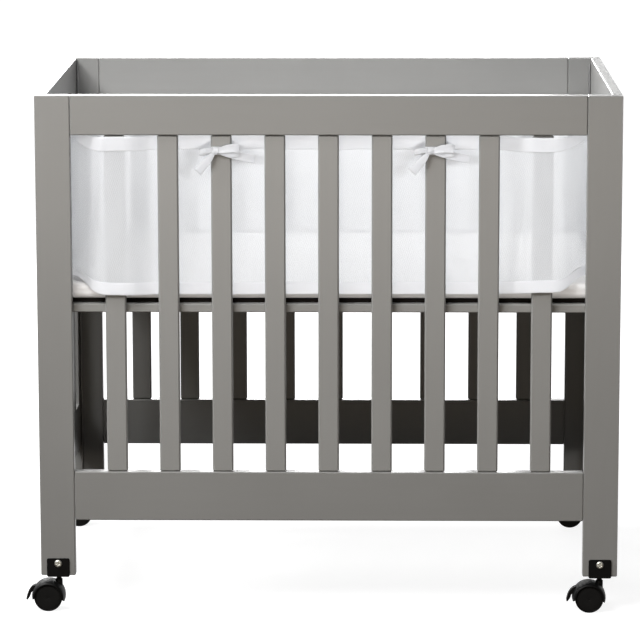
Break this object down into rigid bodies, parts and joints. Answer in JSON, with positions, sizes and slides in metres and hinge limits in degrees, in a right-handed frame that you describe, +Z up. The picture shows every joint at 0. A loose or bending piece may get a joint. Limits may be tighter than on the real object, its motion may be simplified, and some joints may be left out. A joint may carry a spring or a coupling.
{
  "type": "crib bumper on mini crib",
  "caption": "Mesh crib bumper with folded bindings and ribbon ties, woven through the slats of a small slatted crib on braked swivel casters, with a thin pad.",
  "frame": {"origin": "on the floor, under the middle of the whole object's box", "axes": "+Z up, +X to the right along the crib's length, -Y out of the front where the bows are"},
  "size_m": [1.043, 0.6902, 0.915],
  "materials": {
    "painted_wood": "satin grey paint",
    "board": "dark raw board in shadow",
    "pad_cover": "white woven cover",
    "bumper_mesh": "white see-through knitted mesh",
    "binding": "white woven tape, stitched",
    "ribbon": "soft white ribbon",
    "caster_plastic": "black moulded plastic",
    "bracket_steel": "black painted steel"
  },
  "bodies": {
    "crib": {"post_front_left": "painted_wood", "post_front_right": "painted_wood", "rail_front_top": "painted_wood", "rail_front_bottom": "painted_wood", "slat_front_1": "painted_wood", "slat_front_2": "painted_wood", "slat_front_3": "painted_wood", "slat_front_4": "painted_wood", "slat_front_5": "painted_wood", "slat_front_6": "painted_wood", "slat_front_7": "painted_wood", "slat_front_8": "painted_wood", "slat_front_9": "painted_wood", "post_rear_left": "painted_wood", "post_rear_right": "painted_wood", "rail_rear_top": "painted_wood", "rail_rear_bottom": "painted_wood", "slat_rear_1": "painted_wood", "slat_rear_2": "painted_wood", "slat_rear_3": "painted_wood", "slat_rear_4": "painted_wood", "slat_rear_5": "painted_wood", "slat_rear_6": "painted_wood", "slat_rear_7": "painted_wood", "slat_rear_8": "painted_wood", "slat_rear_9": "painted_wood", "end_left": "painted_wood", "end_right": "painted_wood", "support_front": "painted_wood", "support_rear": "painted_wood", "board": "board", "pad": "pad_cover", "bumper_mesh": "bumper_mesh", "bumper_binding_top": "binding", "bumper_binding_bottom": "binding", "tie_front_3": "ribbon", "tie_rear_3": "ribbon", "tie_front_7": "ribbon", "tie_rear_7": "ribbon", "caster_bracket_front_left": "bracket_steel", "caster_bracket_front_right": "bracket_steel", "caster_bracket_rear_left": "bracket_steel", "caster_bracket_rear_right": "bracket_steel"},
    "caster_front_left": {"caster_hood_front_left": "caster_plastic"},
    "wheels_front_left": {"caster_wheels_front_left": "caster_plastic"},
    "brake_front_left": {"caster_brake_front_left": "caster_plastic"},
    "caster_front_right": {"caster_hood_front_right": "caster_plastic"},
    "wheels_front_right": {"caster_wheels_front_right": "caster_plastic"},
    "brake_front_right": {"caster_brake_front_right": "caster_plastic"},
    "caster_rear_left": {"caster_hood_rear_left": "caster_plastic"},
    "wheels_rear_left": {"caster_wheels_rear_left": "caster_plastic"},
    "brake_rear_left": {"caster_brake_rear_left": "caster_plastic"},
    "caster_rear_right": {"caster_hood_rear_right": "caster_plastic"},
    "wheels_rear_right": {"caster_wheels_rear_right": "caster_plastic"},
    "brake_rear_right": {"caster_brake_rear_right": "caster_plastic"}
  },
  "joints": [
    {"name": "swivel_front_left", "type": "hinge", "parent": "crib", "child": "caster_front_left", "pos_m": [-0.464, -0.323, 0.0575], "axis": [0, 0, 1], "continuous": true},
    {"name": "roll_front_left", "type": "hinge", "parent": "caster_front_left", "child": "wheels_front_left", "pos_m": [-0.4823, -0.323, 0.02489], "axis": [0, 1, 0], "continuous": true},
    {"name": "lock_front_left", "type": "hinge", "parent": "caster_front_left", "child": "brake_front_left", "pos_m": [-0.5047, -0.323, 0.03989], "axis": [0, -1, 0], "range_deg": [0, 15]},
    {"name": "swivel_front_right", "type": "hinge", "parent": "crib", "child": "caster_front_right", "pos_m": [0.491, -0.323, 0.0575], "axis": [0, 0, 1], "continuous": true},
    {"name": "roll_front_right", "type": "hinge", "parent": "caster_front_right", "child": "wheels_front_right", "pos_m": [0.4727, -0.323, 0.02489], "axis": [0, 1, 0], "continuous": true},
    {"name": "lock_front_right", "type": "hinge", "parent": "caster_front_right", "child": "brake_front_right", "pos_m": [0.4503, -0.323, 0.03989], "axis": [0, -1, 0], "range_deg": [0, 15]},
    {"name": "swivel_rear_left", "type": "hinge", "parent": "crib", "child": "caster_rear_left", "pos_m": [-0.464, 0.323, 0.0575], "axis": [0, 0, 1], "continuous": true},
    {"name": "roll_rear_left", "type": "hinge", "parent": "caster_rear_left", "child": "wheels_rear_left", "pos_m": [-0.4823, 0.323, 0.02489], "axis": [0, 1, 0], "continuous": true},
    {"name": "lock_rear_left", "type": "hinge", "parent": "caster_rear_left", "child": "brake_rear_left", "pos_m": [-0.5047, 0.323, 0.03989], "axis": [0, -1, 0], "range_deg": [0, 15]},
    {"name": "swivel_rear_right", "type": "hinge", "parent": "crib", "child": "caster_rear_right", "pos_m": [0.491, 0.323, 0.0575], "axis": [0, 0, 1], "continuous": true},
    {"name": "roll_rear_right", "type": "hinge", "parent": "caster_rear_right", "child": "wheels_rear_right", "pos_m": [0.4727, 0.323, 0.02489], "axis": [0, 1, 0], "continuous": true},
    {"name": "lock_rear_right", "type": "hinge", "parent": "caster_rear_right", "child": "brake_rear_right", "pos_m": [0.4503, 0.323, 0.03989], "axis": [0, -1, 0], "range_deg": [0, 15]}
  ]
}
